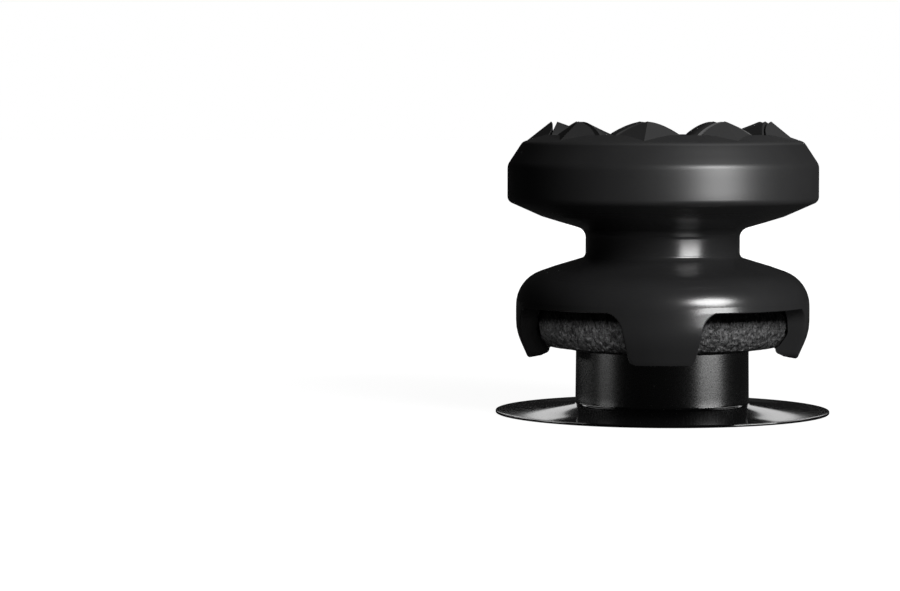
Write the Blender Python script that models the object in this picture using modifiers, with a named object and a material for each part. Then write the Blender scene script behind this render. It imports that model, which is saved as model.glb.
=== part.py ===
"""A tall thumb grip for a game controller, clipped on the thumbstick that it raises.

Three moulded pieces share one upright axis. The thumbstick is a hollow post on a flared skirt,
with a flat core at its top. A rubber thumb cap is moulded round that core. The grip sits on the
cap: a cup with four prongs snaps over the cap's edge, a neck rises from the cup, and a wide head
on the neck has two rings of faceted studs round a shallow dish for the thumb.

The skirt's edge stands on z = 0, and one prong faces -Y, the front.
"""

import math

import bmesh
import bpy
from mathutils import Matrix, Vector

MM = 0.001

# Thumbstick
SKIRT_RADIUS = 11.70 * MM
SKIRT_EDGE = 0.18 * MM
SKIRT_RISE = 0.52 * MM
SKIRT_SAG = 0.07 * MM
SKIRT_WALL = 0.40 * MM
FOOT_WIDTH = 0.45 * MM
POST_RADIUS = 6.09 * MM
POST_DRAFT = 0.04 * MM
POST_WALL = 1.10 * MM
POST_FILLET = 0.12 * MM
SOCKET_RADIUS = 2.15 * MM
SOCKET_FLATS = 3.20 * MM
SOCKET_DEPTH = 4.20 * MM
SOCKET_WALL = 0.90 * MM
SOCKET_LIFT = 0.60 * MM

# Thumb cap, moulded round the thumbstick's core
CAP_RADIUS = 8.96 * MM
CAP_WALL = 1.66 * MM
CAP_UNDERCUT = 0.72 * MM
CAP_UNDERSIDE_HEIGHT = 4.80 * MM
CAP_UNDERSIDE_DROP = 0.38 * MM
CAP_LIP = 0.70 * MM
CAP_HEIGHT = 3.50 * MM
CAP_LAND = 1.00 * MM
CAP_DISH = 0.80 * MM
CAP_FLOOR = 0.75 * MM
CAP_CORNER = 0.60 * MM
MOULD_GAP = 0.05 * MM

# Grip: the cup and its prongs
CLIP_CLEARANCE = 0.11 * MM
SEAT_CLEARANCE = 0.10 * MM
CUP_WALL = 1.21 * MM
CUP_CEILING = 0.93 * MM
SHOULDER_FILLET = 2.50 * MM
SHOULDER_RISE = 0.95 * MM
SHOULDER_RUN = 2.70 * MM
ARCH_OVER_UNDERSIDE = 2.72 * MM
ARCH_FILLET = 1.50 * MM
ARCH_CROSSING = 0.07 * MM
PRONG_COUNT = 4
PRONG_ROOT_WIDTH = 5.96 * MM
PRONG_TIP_WIDTH = 4.34 * MM
PRONG_TIP_FILLET = 0.56 * MM
PRONG_DROP = 0.85 * MM
PRONG_TAPER = 0.80 * MM
PRONG_TAPER_LENGTH = 1.80 * MM
PRONG_TIP_THICKNESS = 1.00 * MM
PRONG_TIP_SLANT = 0.70 * MM
HOOK_REACH = 0.62 * MM
HOOK_RAMP = 0.80 * MM
HOOK_LAND = 0.30 * MM

# Grip: neck and head
NECK_RADIUS = 5.405 * MM
NECK_LENGTH = 1.90 * MM
NECK_TOP_FILLET = 0.73 * MM
NECK_FOOT_FILLET = 0.40 * MM
FLARE_RISE = 0.66 * MM
HEAD_RADIUS = 10.885 * MM
HEAD_UNDERSIDE_RUN = 3.10 * MM
HEAD_UNDERSIDE_RISE = 0.95 * MM
HEAD_KINK_RISE = 1.06 * MM
HEAD_BAND = 2.54 * MM
HEAD_BAND_FOOT_FILLET = 0.50 * MM
HEAD_BAND_TOP_FILLET = 0.85 * MM
HEAD_CHAMFER_WIDTH = 1.05 * MM
HEAD_CHAMFER_HEIGHT = 1.60 * MM
HEAD_CHAMFER_FILLET = 0.50 * MM
HEAD_LEDGE_WIDTH = 1.47 * MM
HEAD_LEDGE_RISE = 0.50 * MM
DISH_EDGE_DROP = 0.12 * MM
DISH_EDGE_WIDTH = 0.65 * MM
DISH_DEPTH = 0.50 * MM

# Studs: an outer ring of wedges, and petals close behind them that slope down into the dish
STUD_COUNT = 9
STUD_TURN = math.radians(-7.6)
WEDGE_HEIGHT = 0.95 * MM
WEDGE_APEX_INSET = 0.565 * MM
WEDGE_FOOT_REACH = 1.14 * MM
WEDGE_HALF_WIDTH = 1.95 * MM
WEDGE_CREST_SWEEP = 0.21 * MM
PETAL_HEIGHT = 0.92 * MM
PETAL_CREST_INSET = 0.975 * MM
PETAL_FACE_LEAN = 0.42 * MM
PETAL_HALF_WIDTH = 2.25 * MM
PETAL_CROWN_POWER = 1.60
PETAL_TIP_RADIUS = 3.00 * MM
STUD_SINK = 0.30 * MM

# Fineness of the round shapes
TURN_STEPS = 64
ARC_STEP = math.radians(20.0)
SHARP_ANGLE = math.radians(32.0)
DISH_STEPS = 5
SKIRT_STEPS = 6
CAP_SIDE_STEPS = 10
SOCKET_STEPS = 6
WEDGE_STEPS = 4
PETAL_STEPS = 8
CUT_MARGIN = 1.00 * MM
MERGE_DISTANCE = 1.0e-6

# Heights and radii that follow from the sizes above
POST_FOOT = SKIRT_EDGE + SKIRT_RISE
CAP_TOP = CAP_UNDERSIDE_HEIGHT + CAP_HEIGHT
CAP_UNDERSIDE_RADIUS = CAP_RADIUS - CAP_UNDERCUT
CAP_DISH_RADIUS = CAP_RADIUS - CAP_LAND
CORE_RADIUS = CAP_RADIUS - CAP_WALL
CORE_TOP = CAP_TOP - CAP_DISH - CAP_FLOOR
CAP_THROAT_HEIGHT = CAP_UNDERSIDE_HEIGHT - CAP_UNDERSIDE_DROP
CORE_BOTTOM = CAP_THROAT_HEIGHT + CAP_LIP
CEILING = CAP_TOP + SEAT_CLEARANCE
CUP_INNER_RADIUS = CAP_RADIUS + CLIP_CLEARANCE
CUP_RADIUS = CUP_INNER_RADIUS + CUP_WALL
SHOULDER = CEILING + CUP_CEILING
PRONG_TIP = CAP_UNDERSIDE_HEIGHT - PRONG_DROP
ARCH_TOP = CAP_UNDERSIDE_HEIGHT + ARCH_OVER_UNDERSIDE
SHOULDER_TOP = SHOULDER + SHOULDER_RISE
NECK_FOOT = SHOULDER_TOP + FLARE_RISE
NECK_TOP = NECK_FOOT + NECK_LENGTH
HEAD_KINK = NECK_TOP + HEAD_UNDERSIDE_RISE
BAND_FOOT = HEAD_KINK + HEAD_KINK_RISE
BAND_TOP = BAND_FOOT + HEAD_BAND
LEDGE_FOOT = BAND_TOP + HEAD_CHAMFER_HEIGHT
LEDGE_FOOT_RADIUS = HEAD_RADIUS - HEAD_CHAMFER_WIDTH
LEDGE_TOP = LEDGE_FOOT + HEAD_LEDGE_RISE
LEDGE_TOP_RADIUS = LEDGE_FOOT_RADIUS - HEAD_LEDGE_WIDTH
DISH_RADIUS = LEDGE_TOP_RADIUS - DISH_EDGE_WIDTH
DISH_EDGE = LEDGE_TOP - DISH_EDGE_DROP


def clear_scene():
    for obj in list(bpy.data.objects):
        bpy.data.objects.remove(obj, do_unlink=True)


def new_collection(name):
    collection = bpy.data.collections.new(name)
    bpy.context.scene.collection.children.link(collection)
    return collection


def new_material(name, colour, roughness):
    material = bpy.data.materials.new(name)
    material.use_nodes = True
    shader = material.node_tree.nodes["Principled BSDF"]
    shader.inputs["Base Color"].default_value = (*colour, 1.0)
    shader.inputs["Roughness"].default_value = roughness
    shader.inputs["Metallic"].default_value = 0.0
    return material


def rounded(corners):
    """The open outline through corners (radius, height, fillet), each corner rounded by its fillet."""
    points = [Vector(corner[:2]) for corner in corners]
    turns, reaches = [0.0] * len(points), [0.0] * len(points)
    for i in range(1, len(points) - 1):
        arriving = (points[i] - points[i - 1]).normalized()
        leaving = (points[i + 1] - points[i]).normalized()
        turns[i] = arriving.angle(leaving)
        reaches[i] = corners[i][2] * math.tan(turns[i] / 2)
    # Two fillets that share a straight stretch shrink together until they fit on it
    for i in range(len(points) - 1):
        room = (points[i + 1] - points[i]).length
        wanted = reaches[i] + reaches[i + 1]
        if wanted > room:
            reaches[i] *= room / wanted
            reaches[i + 1] *= room / wanted
    outline = []
    for i, here in enumerate(points):
        if reaches[i] < MERGE_DISTANCE:
            outline.append(here)
            continue
        back = (points[i - 1] - here).normalized()
        ahead = (points[i + 1] - here).normalized()
        start = here + back * reaches[i]
        centre = here + (back + ahead).normalized() * (reaches[i] / math.sin(turns[i] / 2))
        side = 1.0 if back.cross(ahead) < 0 else -1.0
        steps = max(1, math.ceil(turns[i] / ARC_STEP))
        for step in range(steps + 1):
            spin = Matrix.Rotation(side * turns[i] * step / steps, 2)
            outline.append(centre + spin @ (start - centre))
    return outline


def bowed(start, end, rise, steps):
    """Points along a shallow arch from start to end, standing this rise above their chord."""
    start, end = Vector(start), Vector(end)
    across = (end - start).orthogonal().normalized() * rise
    shares = [step / steps for step in range(steps + 1)]
    return [start.lerp(end, share) + across * (4 * share * (1 - share)) for share in shares]


def turned(name, outline, collection, material):
    """A solid of revolution about Z. The outline runs down its outer side and back up its inner side."""
    mesh = bpy.data.meshes.new(name)
    edges = [(i, i + 1) for i in range(len(outline) - 1)]
    mesh.from_pydata([(radius, 0.0, height) for radius, height in outline], edges, [])
    obj = bpy.data.objects.new(name, mesh)
    collection.objects.link(obj)
    obj.data.materials.append(material)
    screw = obj.modifiers.new("Turn", "SCREW")
    screw.axis = "Z"
    screw.steps = TURN_STEPS
    screw.render_steps = TURN_STEPS
    screw.use_merge_vertices = True
    screw.merge_threshold = MERGE_DISTANCE
    screw.use_smooth_shade = True
    return obj


def tool(obj):
    """Marks an object as one that only cuts or joins another."""
    obj.hide_render = True
    obj.display_type = "WIRE"
    return obj


def plate(name, outline, thickness, collection):
    """A flat closed outline in the XZ plane, given thickness along Y about the plane."""
    curve = bpy.data.curves.new(name, "CURVE")
    curve.dimensions = "2D"
    curve.fill_mode = "BOTH"
    curve.extrude = thickness / 2
    spline = curve.splines.new("POLY")
    spline.points.add(len(outline) - 1)
    for point, (x, z) in zip(spline.points, outline):
        point.co = (x, z, 0.0, 1.0)
    spline.use_cyclic_u = True
    drawn = bpy.data.objects.new(name + "_outline", curve)
    collection.objects.link(drawn)
    drawn.rotation_euler = (math.pi / 2, 0.0, 0.0)
    bpy.context.view_layer.update()
    graph = bpy.context.evaluated_depsgraph_get()
    mesh = bpy.data.meshes.new_from_object(drawn.evaluated_get(graph))
    solid = bmesh.new()
    solid.from_mesh(mesh)
    bmesh.ops.remove_doubles(solid, verts=solid.verts, dist=MERGE_DISTANCE)
    bmesh.ops.recalc_face_normals(solid, faces=solid.faces)
    solid.to_mesh(mesh)
    solid.free()
    obj = bpy.data.objects.new(name, mesh)
    obj.matrix_world = drawn.matrix_world
    collection.objects.link(obj)
    bpy.data.objects.remove(drawn, do_unlink=True)
    return obj


def hull(name, points):
    """The convex solid round these points, as a mesh."""
    solid = bmesh.new()
    for point in points:
        solid.verts.new(point)
    made = bmesh.ops.convex_hull(solid, input=solid.verts)
    inside = [v for v in made["geom_interior"] if isinstance(v, bmesh.types.BMVert)]
    bmesh.ops.delete(solid, geom=inside, context="VERTS")
    bmesh.ops.recalc_face_normals(solid, faces=solid.faces)
    mesh = bpy.data.meshes.new(name)
    solid.to_mesh(mesh)
    solid.free()
    return mesh


def combine(obj, operation, other):
    """Joins obj to, or cuts it with, one object or a whole collection."""
    modifier = obj.modifiers.new(operation.title(), "BOOLEAN")
    modifier.operation = operation
    modifier.solver = "EXACT"
    if isinstance(other, bpy.types.Collection):
        modifier.operand_type = "COLLECTION"
        modifier.collection = other
    else:
        modifier.object = other


def finish(obj):
    """Keeps the modelled shape as the object's mesh, shaded smooth but for its sharp edges."""
    bpy.context.view_layer.update()
    graph = bpy.context.evaluated_depsgraph_get()
    mesh = bpy.data.meshes.new_from_object(obj.evaluated_get(graph))
    mesh.name = obj.name
    obj.modifiers.clear()
    obj.data = mesh
    mesh.shade_smooth()
    mesh.set_sharp_from_angle(angle=SHARP_ANGLE)


def at(radius, angle, height):
    """The point at this radius and height, angle round from the front, -Y, towards +X."""
    return Vector((radius * math.sin(angle), -radius * math.cos(angle), height))


def thumbstick(collection, tools, material):
    """Skirt, hollow post, socket boss and core, turned as one piece. The socket is then cut."""
    post_top_radius = POST_RADIUS - POST_DRAFT
    skirt = bowed((POST_RADIUS, POST_FOOT), (SKIRT_RADIUS, SKIRT_EDGE), -SKIRT_SAG, SKIRT_STEPS)
    foot_inner = SKIRT_RADIUS - FOOT_WIDTH
    bore_radius = POST_RADIUS - POST_WALL
    bore_mouth = POST_FOOT - SKIRT_WALL
    boss_radius = SOCKET_RADIUS + SOCKET_WALL
    boss_top = SOCKET_LIFT + SOCKET_DEPTH
    outline = rounded(
        [
            (0.0, CORE_TOP, 0.0),
            (CORE_RADIUS, CORE_TOP, 0.0),
            (CORE_RADIUS, CORE_BOTTOM, 0.0),
            (post_top_radius, CORE_BOTTOM, 0.0),
            (POST_RADIUS, POST_FOOT, POST_FILLET),
            (*skirt[1], 0.0),
        ]
    )
    outline += skirt[2:]
    outline += [
        Vector((SKIRT_RADIUS, 0.0)),
        Vector((foot_inner, 0.0)),
        Vector((bore_radius, bore_mouth)),
        Vector((bore_radius, boss_top)),
        Vector((boss_radius, boss_top)),
        Vector((boss_radius, SOCKET_LIFT)),
        Vector((0.0, SOCKET_LIFT)),
    ]
    stick = turned("thumbstick", outline, collection, material)

    # The socket is a round hole with two flats, open downwards
    flat_angle = math.asin(SOCKET_FLATS / 2 / SOCKET_RADIUS)
    sweep = [flat_angle * (2 * step / SOCKET_STEPS - 1) for step in range(SOCKET_STEPS + 1)]
    arc = [Vector((SOCKET_RADIUS * math.cos(a), SOCKET_RADIUS * math.sin(a))) for a in sweep]
    outline = arc + [-point for point in arc]
    depth = SOCKET_DEPTH - SOCKET_WALL + CUT_MARGIN
    socket = tool(plate("socket_cutter", outline, depth, tools))
    centre = Vector((0.0, 0.0, SOCKET_LIFT - CUT_MARGIN + depth / 2))
    socket.matrix_world = Matrix.Translation(centre)
    combine(stick, "DIFFERENCE", socket)
    return stick


def thumb_cap(collection, material):
    """The rubber cap: a bulging side, a dished top, and a cavity that fits round the core and post."""
    cavity_radius = CORE_RADIUS + MOULD_GAP
    throat_radius = POST_RADIUS + MOULD_GAP
    side_top = (CAP_RADIUS - CAP_CORNER / 2, CAP_TOP - CAP_CORNER)
    side_foot = (CAP_UNDERSIDE_RADIUS, CAP_UNDERSIDE_HEIGHT)
    bulge = CAP_RADIUS - (side_top[0] + side_foot[0]) / 2
    dish_foot = (0.0, CAP_TOP - CAP_DISH)
    dish = bowed(dish_foot, (CAP_DISH_RADIUS, CAP_TOP), -CAP_DISH / 4, DISH_STEPS)
    side = bowed(side_top, side_foot, bulge, CAP_SIDE_STEPS)
    outline = dish[:-1] + rounded(
        [
            (*dish[-1], 0.0),
            (side_top[0], CAP_TOP, CAP_CORNER),
            (*side[0], 0.0),
        ]
    )
    outline += side[1:]
    outline += [
        Vector((throat_radius, CAP_THROAT_HEIGHT)),
        Vector((throat_radius, CORE_BOTTOM - MOULD_GAP)),
        Vector((cavity_radius, CORE_BOTTOM - MOULD_GAP)),
        Vector((cavity_radius, CORE_TOP + MOULD_GAP)),
        Vector((0.0, CORE_TOP + MOULD_GAP)),
    ]
    return turned("thumb_cap", outline, collection, material)


def grip_outline():
    """Half the section of the grip, from the middle of the dish, down the outside and up into the cup."""
    hook_radius = CUP_INNER_RADIUS - HOOK_REACH
    hook_top = PRONG_TIP + PRONG_TIP_SLANT + HOOK_LAND
    tip_radius = CUP_RADIUS - PRONG_TAPER
    dish_foot = (0.0, DISH_EDGE - DISH_DEPTH)
    dish = bowed(dish_foot, (DISH_RADIUS, DISH_EDGE), -DISH_DEPTH / 4, DISH_STEPS)
    return dish[:-1] + rounded(
        [
            (*dish[-1], 0.0),
            (LEDGE_TOP_RADIUS, LEDGE_TOP, 0.0),
            (LEDGE_FOOT_RADIUS, LEDGE_FOOT, HEAD_CHAMFER_FILLET),
            (HEAD_RADIUS, BAND_TOP, HEAD_BAND_TOP_FILLET),
            (HEAD_RADIUS, BAND_FOOT, HEAD_BAND_FOOT_FILLET),
            (NECK_RADIUS + HEAD_UNDERSIDE_RUN, HEAD_KINK, 0.0),
            (NECK_RADIUS, NECK_TOP, NECK_TOP_FILLET),
            (NECK_RADIUS, NECK_FOOT, NECK_FOOT_FILLET),
            (CUP_RADIUS - SHOULDER_RUN, SHOULDER_TOP, 0.0),
            (CUP_RADIUS, SHOULDER, SHOULDER_FILLET),
            (CUP_RADIUS, PRONG_TIP + PRONG_TAPER_LENGTH, 2 * PRONG_TAPER_LENGTH),
            (tip_radius, PRONG_TIP, 0.0),
            (tip_radius - PRONG_TIP_THICKNESS, PRONG_TIP + PRONG_TIP_SLANT, 0.0),
            (hook_radius, hook_top, 0.0),
            (CUP_INNER_RADIUS, hook_top + HOOK_RAMP, HOOK_RAMP),
            (CUP_INNER_RADIUS, CEILING, 0.0),
            (0.0, CEILING, 0.0),
        ]
    )


def prong_outline():
    """A prong seen from outside: narrow at its tip, and opening by a round fillet at each side of its root.

    It ends just over the arches' top, so that their flat meets the fillets at a clear angle."""
    root = ARCH_TOP + ARCH_CROSSING
    wing = PRONG_ROOT_WIDTH / 2 + ARCH_FILLET
    right = rounded(
        [
            (0.0, PRONG_TIP, 0.0),
            (PRONG_TIP_WIDTH / 2, PRONG_TIP, PRONG_TIP_FILLET),
            (PRONG_ROOT_WIDTH / 2, root, ARCH_FILLET),
            (wing, root + ARCH_CROSSING, 0.0),
            (wing, root + CUT_MARGIN, 0.0),
        ]
    )
    return right + [Vector((-x, z)) for x, z in reversed(right[1:])]


def arch_cutter(tools):
    """What is taken away below the arches' top: a disc, less a block for each prong."""
    disc_radius = CUP_RADIUS + CUT_MARGIN
    outline = [
        Vector((0.0, ARCH_TOP)),
        Vector((disc_radius, ARCH_TOP)),
        Vector((disc_radius, PRONG_TIP - CUT_MARGIN)),
        Vector((0.0, PRONG_TIP - CUT_MARGIN)),
    ]
    cutter = tool(turned("arch_cutter", outline, tools, bpy.data.materials["grip_plastic"]))
    prongs = bpy.data.collections.new("prongs")
    tools.children.link(prongs)
    inner = CUP_INNER_RADIUS - HOOK_REACH - CUT_MARGIN
    outer = disc_radius + CUT_MARGIN
    for i in range(PRONG_COUNT):
        prong = tool(plate(f"prong_{i + 1}", prong_outline(), outer - inner, prongs))
        outwards = Matrix.Translation((0.0, -(inner + outer) / 2, 0.0))
        turn = Matrix.Rotation(math.tau * i / PRONG_COUNT, 4, "Z")
        prong.matrix_world = turn @ outwards @ prong.matrix_world
    combine(cutter, "DIFFERENCE", prongs)
    return cutter


def wedge_mesh():
    """An outer stud at the front: two flat facets that meet on a ridge, cut off by an arched inner wall."""
    apex = at(LEDGE_TOP_RADIUS - WEDGE_APEX_INSET, 0.0, LEDGE_TOP + WEDGE_HEIGHT)
    ledge_slope = HEAD_LEDGE_RISE / HEAD_LEDGE_WIDTH
    foot_height = LEDGE_TOP - WEDGE_FOOT_REACH * ledge_slope
    foot = at(LEDGE_TOP_RADIUS + WEDGE_FOOT_REACH, 0.0, foot_height)
    outward = (apex.z - foot.z) / (apex.y - foot.y)
    sideways = (WEDGE_HEIGHT - outward * WEDGE_CREST_SWEEP) / WEDGE_HALF_WIDTH
    # The facets run on past the ledge, so that they cross its surface cleanly
    beyond = 1.0 + STUD_SINK / 2 / WEDGE_HEIGHT
    crest = []
    for step in range(2 * WEDGE_STEPS + 1):
        share = (step / WEDGE_STEPS - 1.0) * beyond
        x = WEDGE_HALF_WIDTH * share
        sweep = WEDGE_CREST_SWEEP * abs(share) ** 3
        crest.append(apex + Vector((x, -sweep, -outward * sweep - sideways * abs(x))))
    foot = apex + (foot - apex) * beyond
    root_height = foot_height - STUD_SINK
    root = [Vector((p.x, p.y, root_height)) for p in (foot, *crest)]
    return hull("wedge", [foot, *crest, *root])


def petal_mesh():
    """An inner stud at the front: a flat, leaning face outwards, and a fan of facets down to a point inwards.

    The face's arched top edge is the crest. It stands further out where it is lower, as the face leans."""
    crest_radius = LEDGE_TOP_RADIUS - PETAL_CREST_INSET
    crest_height = LEDGE_TOP + PETAL_HEIGHT
    lean = PETAL_FACE_LEAN / PETAL_HEIGHT
    foot_height = LEDGE_TOP - STUD_SINK
    foot_radius = crest_radius + lean * (crest_height - foot_height)
    sunk_share = 1.0 + STUD_SINK / PETAL_HEIGHT / 2
    crest = []
    for step in range(PETAL_STEPS + 1):
        share = (2 * step / PETAL_STEPS - 1) * sunk_share
        drop = PETAL_HEIGHT * abs(share) ** PETAL_CROWN_POWER
        crest.append(Vector((PETAL_HALF_WIDTH * share, -crest_radius - lean * drop, crest_height - drop)))
    face_foot = [Vector((point.x, -foot_radius, foot_height)) for point in (crest[0], crest[-1])]
    tip = at(PETAL_TIP_RADIUS, 0.0, DISH_EDGE - DISH_DEPTH)
    root_height = DISH_EDGE - DISH_DEPTH - STUD_SINK
    root = [Vector((point.x, point.y, root_height)) for point in (*face_foot, tip)]
    return hull("petal", [*crest, *face_foot, tip, *root])


def stud_ring(mesh, tools):
    """One copy of the stud for each place round the head."""
    for i in range(STUD_COUNT):
        stud = tool(bpy.data.objects.new(f"{mesh.name}_{i + 1}", mesh))
        angle = STUD_TURN + math.tau * i / STUD_COUNT
        stud.matrix_world = Matrix.Rotation(angle, 4, "Z")
        tools.objects.link(stud)


def thumb_grip(collection, tools, material):
    """The grip is one moulding: a turned body with the studs joined to its head and the arches cut away."""
    grip = turned("thumb_grip", grip_outline(), collection, material)
    studs = bpy.data.collections.new("studs")
    tools.children.link(studs)
    stud_ring(wedge_mesh(), studs)
    stud_ring(petal_mesh(), studs)
    combine(grip, "UNION", studs)
    combine(grip, "DIFFERENCE", arch_cutter(tools))
    return grip


def main():
    clear_scene()
    collection = new_collection("controller_thumb_grip")
    tools = new_collection("cutters")
    grip_plastic = new_material("grip_plastic", (0.030, 0.030, 0.031), 0.42)
    cap_rubber = new_material("cap_rubber", (0.040, 0.040, 0.041), 0.75)
    stick_plastic = new_material("stick_plastic", (0.022, 0.022, 0.023), 0.32)
    finish(thumb_grip(collection, tools, grip_plastic))
    finish(thumb_cap(collection, cap_rubber))
    finish(thumbstick(collection, tools, stick_plastic))


main()
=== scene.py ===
# %% [markdown]
# # A tall thumb grip, clipped on its thumbstick
#
# The object has three mouldings on one upright axis. The thumbstick is a glossy black post on a wide,
# thin skirt. A rubber cap with a coarse grain is moulded round its top. The satin grip snaps over
# the cap with four prongs, and lifts the thumb on a studded head.
#
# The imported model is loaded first. It stays as the fixed frame, and each finer piece made here
# stands for one of its nodes.

# %% The frame
import math

import bpy
import numpy as np
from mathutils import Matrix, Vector


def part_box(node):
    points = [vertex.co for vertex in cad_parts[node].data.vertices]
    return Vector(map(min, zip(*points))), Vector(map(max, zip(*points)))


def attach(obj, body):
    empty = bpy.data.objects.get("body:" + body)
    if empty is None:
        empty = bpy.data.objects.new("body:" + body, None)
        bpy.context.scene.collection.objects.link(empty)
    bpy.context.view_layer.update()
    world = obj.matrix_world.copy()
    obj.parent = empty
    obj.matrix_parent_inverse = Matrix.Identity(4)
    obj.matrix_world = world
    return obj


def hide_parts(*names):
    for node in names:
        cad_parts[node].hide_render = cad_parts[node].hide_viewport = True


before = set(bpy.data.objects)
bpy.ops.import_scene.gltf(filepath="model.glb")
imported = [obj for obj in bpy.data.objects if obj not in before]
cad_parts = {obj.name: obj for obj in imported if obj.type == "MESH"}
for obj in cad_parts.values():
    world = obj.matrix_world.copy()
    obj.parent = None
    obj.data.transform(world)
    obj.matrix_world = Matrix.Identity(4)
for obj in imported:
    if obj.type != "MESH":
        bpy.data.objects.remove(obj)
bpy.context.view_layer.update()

MM = 0.001
TURN = 2 * math.pi

for name in sorted(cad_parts):
    low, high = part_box(name)
    print(name, "stands from", round(low.z / MM, 2), "to", round(high.z / MM, 2), "mm")

# %% [markdown]
# ## The camera
#
# The head shows its band as straight lines, and the skirt shows a thin ellipse, so the lens was long
# and stood at the height of the studs. The object stands right of the middle of the picture, which
# a small turn of the camera gives without any lens shift.

# %% Camera
PICTURE_WIDTH = 900
SENSOR = 36.0
FOCAL_PIXELS = 3123.0
AXIS_RIGHT_OF_MIDDLE = 213.0
HORIZON_OVER_MIDDLE = 174.5
CAMERA_PLACE = (0.0, -0.2195, 0.02045)

pitch = math.atan(HORIZON_OVER_MIDDLE / FOCAL_PIXELS)
swing = math.atan(AXIS_RIGHT_OF_MIDDLE / FOCAL_PIXELS * math.cos(pitch))
ahead = Vector((-math.sin(swing) * math.cos(pitch), math.cos(swing) * math.cos(pitch), -math.sin(pitch)))

camera = bpy.data.objects.new("camera", bpy.data.cameras.new("camera"))
camera.data.sensor_width = SENSOR
camera.data.sensor_fit = "HORIZONTAL"
camera.data.lens = SENSOR * FOCAL_PIXELS / PICTURE_WIDTH
camera.data.clip_start = 0.01
camera.data.clip_end = 10.0
camera.location = CAMERA_PLACE
camera.rotation_euler = ahead.to_track_quat("-Z", "Y").to_euler()
bpy.context.scene.collection.objects.link(camera)
bpy.context.scene.camera = camera
bpy.context.scene.view_settings.view_transform = "Standard"
print("lens", round(camera.data.lens, 1), "mm")

# %% [markdown]
# ## Floor and background
#
# The picture's ground is plain white, and yet the plastic is nearly black all over. A white room
# would put a pale rim on every edge of it. So the floor and the world are white to the camera, and
# to rays that pass through things, but nearly black in reflections and as lights.


# %% White to the camera, dim to the object
def link(tree, source, socket):
    """Feeds a node's output into a socket."""
    tree.links.new(source, socket)


def add_node(tree, kind, **inputs):
    """Adds a shader node, with its sockets set by name. Underscores stand for spaces."""
    made = tree.nodes.new(kind)
    for name, value in inputs.items():
        made.inputs[name.replace("_", " ")].default_value = value
    return made


def math_node(tree, operation, first, second, third=None):
    """Adds a Math node. Each of its inputs is a number or a socket."""
    made = tree.nodes.new("ShaderNodeMath")
    made.operation = operation
    for socket, value in zip(made.inputs, (first, second, third)):
        if isinstance(value, (int, float)):
            socket.default_value = value
        elif value is not None:
            link(tree, value, socket)
    return made.outputs[0]


def ray_kinds(tree):
    """Two values: 1 for rays from the camera or through glass, and 1 for rays of a reflection."""
    rays = tree.nodes.new("ShaderNodeLightPath").outputs
    direct = math_node(tree, "MAXIMUM", rays["Is Camera Ray"], rays["Is Transmission Ray"])
    return direct, rays["Is Glossy Ray"]


WORLD_ELSEWHERE = 0.010

world = bpy.data.worlds.new("studio")
world.use_nodes = True
bpy.context.scene.world = world
sky = world.node_tree.nodes["Background"]
sky.inputs["Color"].default_value = (1.0, 1.0, 1.0, 1.0)
direct, _ = ray_kinds(world.node_tree)
strength = math_node(world.node_tree, "MAXIMUM", direct, WORLD_ELSEWHERE)
link(world.node_tree, strength, sky.inputs["Strength"])
print("world: 1 to the camera,", WORLD_ELSEWHERE, "in reflections and as a light")

# %% Floor
FLOOR_SIZE = 6.0
FLOOR_GLOW_NEAR, FLOOR_GLOW_FAR = 0.93, 1.02
SHADOW_START, SHADOW_REACH = 0.02, 0.10
FLOOR_WHITE = 0.14
FLOOR_GREY = 0.02
FLOOR_BY_MIRROR = 0.005


def floor_material():
    """Glowing white with a little plain white, whose shade is the soft shadow; dark grey as a light.

    Far from the object, where no lamp reaches, the glow alone is white."""
    material = bpy.data.materials.new("floor")
    material.use_nodes = True
    tree = material.node_tree
    tree.nodes.clear()
    out = tree.nodes.new("ShaderNodeOutputMaterial")
    glow = add_node(tree, "ShaderNodeEmission", Color=(1.0, 1.0, 1.0, 1.0))
    place = tree.nodes.new("ShaderNodeTexCoord").outputs["Object"]
    away = tree.nodes.new("ShaderNodeVectorMath")
    away.operation = "LENGTH"
    link(tree, place, away.inputs[0])
    reach = add_node(tree, "ShaderNodeMapRange", From_Min=SHADOW_START, From_Max=SHADOW_REACH)
    reach.inputs["To Min"].default_value = FLOOR_GLOW_NEAR
    reach.inputs["To Max"].default_value = FLOOR_GLOW_FAR
    link(tree, away.outputs["Value"], reach.inputs["Value"])
    link(tree, reach.outputs["Result"], glow.inputs["Strength"])
    pale = add_node(tree, "ShaderNodeBsdfDiffuse", Color=(FLOOR_WHITE,) * 3 + (1.0,))
    grey = add_node(tree, "ShaderNodeBsdfDiffuse", Color=(FLOOR_GREY,) * 3 + (1.0,))
    white = tree.nodes.new("ShaderNodeAddShader")
    mix = tree.nodes.new("ShaderNodeMixShader")
    direct, mirrored = ray_kinds(tree)
    seen = math_node(tree, "MAXIMUM", direct, math_node(tree, "MULTIPLY", mirrored, FLOOR_BY_MIRROR))
    link(tree, glow.outputs[0], white.inputs[0])
    link(tree, pale.outputs[0], white.inputs[1])
    link(tree, seen, mix.inputs[0])
    link(tree, grey.outputs[0], mix.inputs[1])
    link(tree, white.outputs[0], mix.inputs[2])
    link(tree, mix.outputs[0], out.inputs["Surface"])
    return material


half = FLOOR_SIZE / 2
floor_corners = [(-half, -half, 0), (half, -half, 0), (half, half, 0), (-half, half, 0)]
floor_mesh = bpy.data.meshes.new("floor")
floor_mesh.from_pydata(floor_corners, [], [(0, 1, 2, 3)])
floor_mesh.materials.append(floor_material())
floor = bpy.data.objects.new("floor", floor_mesh)
bpy.context.scene.collection.objects.link(floor)
print("floor", FLOOR_SIZE, "m wide")

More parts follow.
